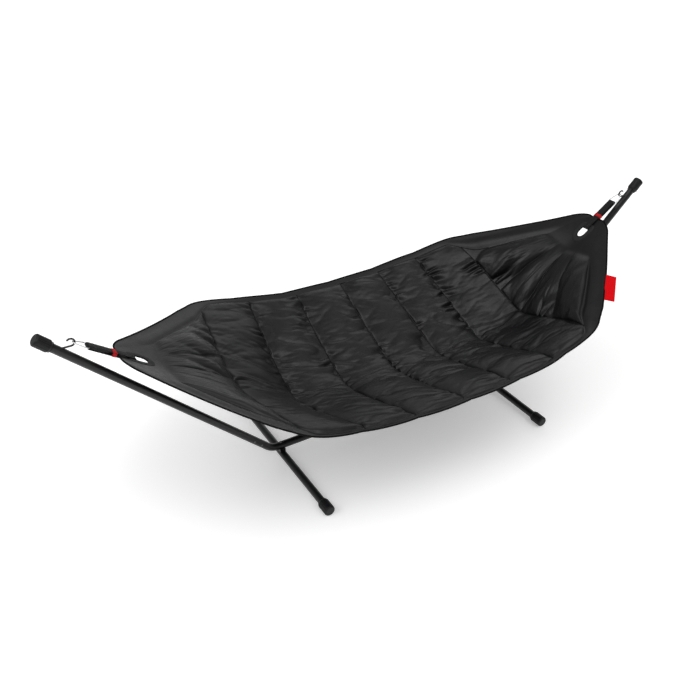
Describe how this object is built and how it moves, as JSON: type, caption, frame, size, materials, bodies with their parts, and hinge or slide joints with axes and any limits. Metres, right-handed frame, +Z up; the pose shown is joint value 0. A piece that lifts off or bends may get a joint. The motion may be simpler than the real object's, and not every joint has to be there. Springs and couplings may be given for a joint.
{
  "type": "hammock on stand",
  "caption": "Quilted black hammock with slanting corners, hung by a strap and ring at each end from the hooks of a bent-tube floor stand with two cross legs and fluted caps.",
  "frame": {"origin": "on the ground under the middle of the stand", "axes": "+X along the stand from the left arm to the right arm, +Y to the back, +Z up"},
  "size_m": [3.3308, 1.3082, 1.0257],
  "materials": {
    "black_powder_coat": "satin",
    "black_hook_rod": "satin",
    "black_cap_plastic": "matte",
    "zinc_steel": "satin",
    "bright_ring_wire": "polished",
    "red_webbing": "matte",
    "black_webbing": "matte",
    "polyester_filling": "matte",
    "stiffener_cloth": "matte",
    "eyelet_cloth": "matte",
    "black_satin_cloth": "satin",
    "black_binding": "matte",
    "red_label_cloth": "matte"
  },
  "bodies": {
    "stand": {"base_tube": "black_powder_coat", "joint_spigot_left": "zinc_steel", "joint_spigot_right": "zinc_steel", "spigot_rivets": "zinc_steel", "arm_left": "black_powder_coat", "arm_right": "black_powder_coat", "joint_screws": "zinc_steel", "hook_left": "black_hook_rod", "hook_right": "black_hook_rod", "arm_cap_left": "black_cap_plastic", "arm_cap_right": "black_cap_plastic", "leg_left": "black_powder_coat", "leg_right": "black_powder_coat", "leg_saddle_left": "black_powder_coat", "leg_saddle_right": "black_powder_coat", "leg_bolts": "zinc_steel", "leg_washers": "zinc_steel", "leg_nuts": "zinc_steel", "foot_cap_left_front": "black_cap_plastic", "foot_cap_left_back": "black_cap_plastic", "foot_cap_right_front": "black_cap_plastic", "foot_cap_right_back": "black_cap_plastic"},
    "hammock": {"ring_left": "bright_ring_wire", "ring_right": "bright_ring_wire", "strap_left": "black_webbing", "strap_right": "black_webbing", "strap_keeper_left": "red_webbing", "strap_keeper_right": "red_webbing", "top_cover": "black_satin_cloth", "bottom_cover": "black_satin_cloth", "channel_fill_1": "polyester_filling", "channel_fill_2": "polyester_filling", "channel_fill_3": "polyester_filling", "channel_fill_4": "polyester_filling", "channel_fill_5": "polyester_filling", "channel_fill_6": "polyester_filling", "channel_fill_7": "polyester_filling", "channel_fill_8": "polyester_filling", "tip_stiffener_left": "stiffener_cloth", "tip_stiffener_right": "stiffener_cloth", "eyelet_patch_left": "eyelet_cloth", "eyelet_patch_right": "eyelet_cloth", "edge_binding": "black_binding", "side_label": "red_label_cloth"}
  },
  "joints": [
    {"name": "hammock_swing", "type": "hinge", "parent": "stand", "child": "hammock", "pos_m": [0, 0, 0.955], "axis": [1, 0, 0], "range_deg": [-25, 25]}
  ]
}
